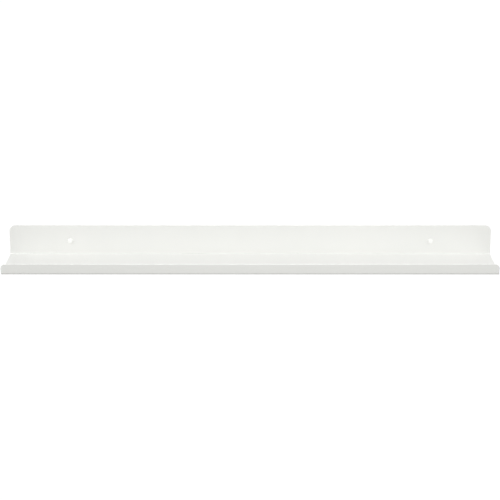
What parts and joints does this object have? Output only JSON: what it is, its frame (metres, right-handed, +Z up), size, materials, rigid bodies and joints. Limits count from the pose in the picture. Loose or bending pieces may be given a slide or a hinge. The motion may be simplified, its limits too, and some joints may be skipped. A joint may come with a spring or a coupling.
{
  "type": "floating wall shelf",
  "caption": "Narrow picture ledge folded from one white sheet, with a flat tray, a low front lip and a back plate screwed to the wall.",
  "frame": {"origin": "on the wall's face, midway between the two screw holes", "axes": "+X along the ledge, +Y into the wall, +Z up"},
  "size_m": [0.6, 0.1085, 0.0385],
  "materials": {
    "powder_coat": "satin",
    "screw_lacquer": "satin",
    "plug_nylon": "matte"
  },
  "bodies": {
    "root": {"ledge": "powder_coat", "screw_left": "screw_lacquer", "screw_right": "screw_lacquer", "wall_plug_left": "plug_nylon", "wall_plug_right": "plug_nylon"}
  },
  "joints": []
}
